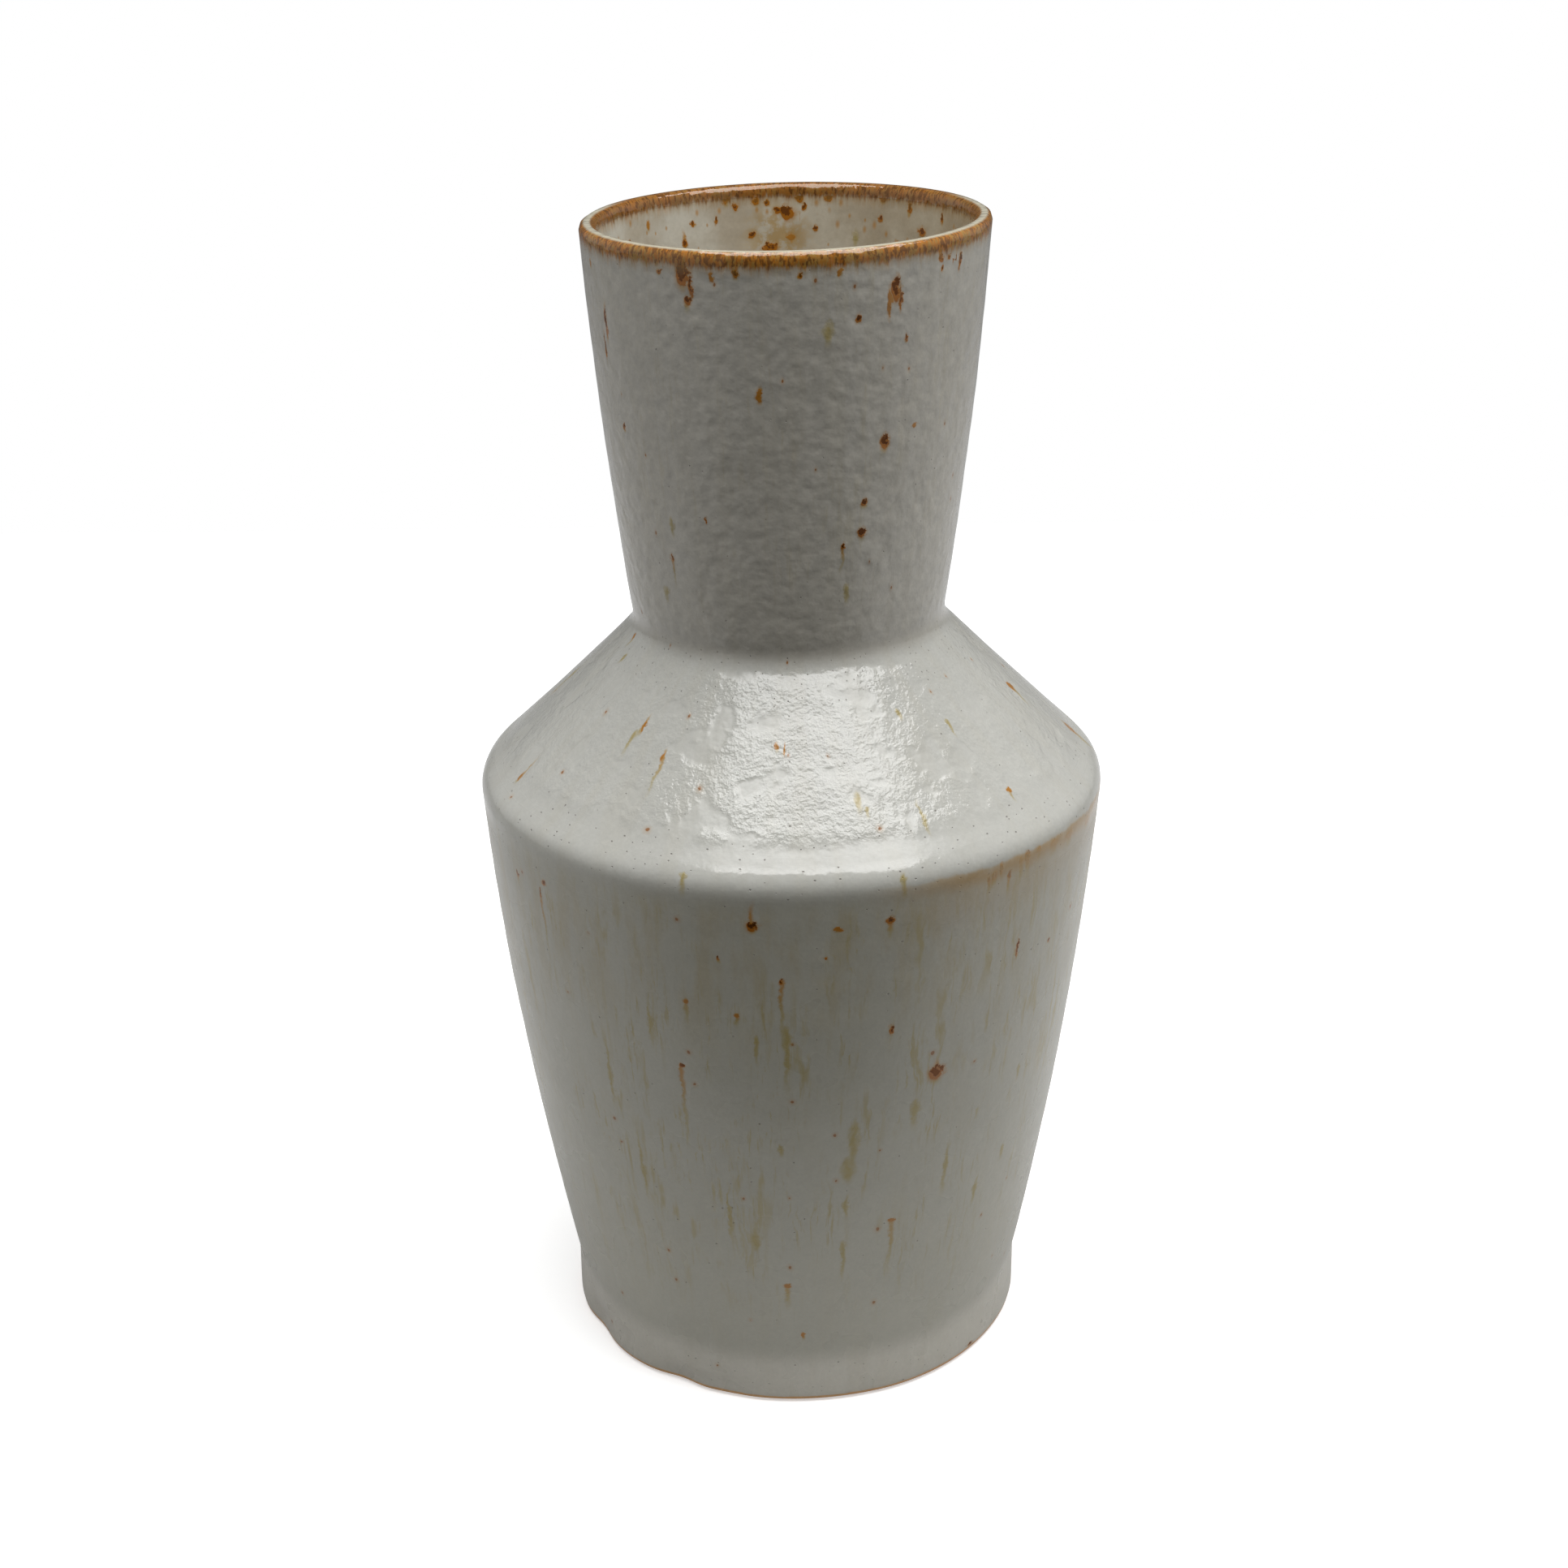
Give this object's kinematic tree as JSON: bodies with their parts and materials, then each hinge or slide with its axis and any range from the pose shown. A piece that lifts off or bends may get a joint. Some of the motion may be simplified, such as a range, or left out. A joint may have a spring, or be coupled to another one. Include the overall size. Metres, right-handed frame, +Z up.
{
  "type": "vase",
  "caption": "Stoneware vase with a banded foot, a swelling body, a hard shoulder turn, a straight cone and a flared neck, in speckled off-white glaze with a rust-brown lip.",
  "frame": {"origin": "centre of the foot's underside, on the surface that the vase stands on", "axes": "+Z up along the vase's turning axis, from the foot to the mouth; +X to the right and -Y towards the viewer"},
  "size_m": [0.1616, 0.1616, 0.3],
  "materials": {
    "bare_stoneware": "fired unglazed stoneware, sandy and matt, toasted orange-brown",
    "joint_slip": "fired slip, fine and matt",
    "outer_glaze": "satin-gloss off-white glaze with iron specks, faint runs, pinholes and a rust-brown lip",
    "inner_glaze": "warm beige liner glaze, glossy, with brown spots"
  },
  "bodies": {
    "root": {"foot_section": "bare_stoneware", "body_section": "bare_stoneware", "shoulder_section": "bare_stoneware", "neck_section": "bare_stoneware", "foot_joint_slip": "joint_slip", "shoulder_joint_slip": "joint_slip", "neck_joint_slip": "joint_slip", "outer_glaze": "outer_glaze", "inner_glaze": "inner_glaze"}
  },
  "joints": []
}
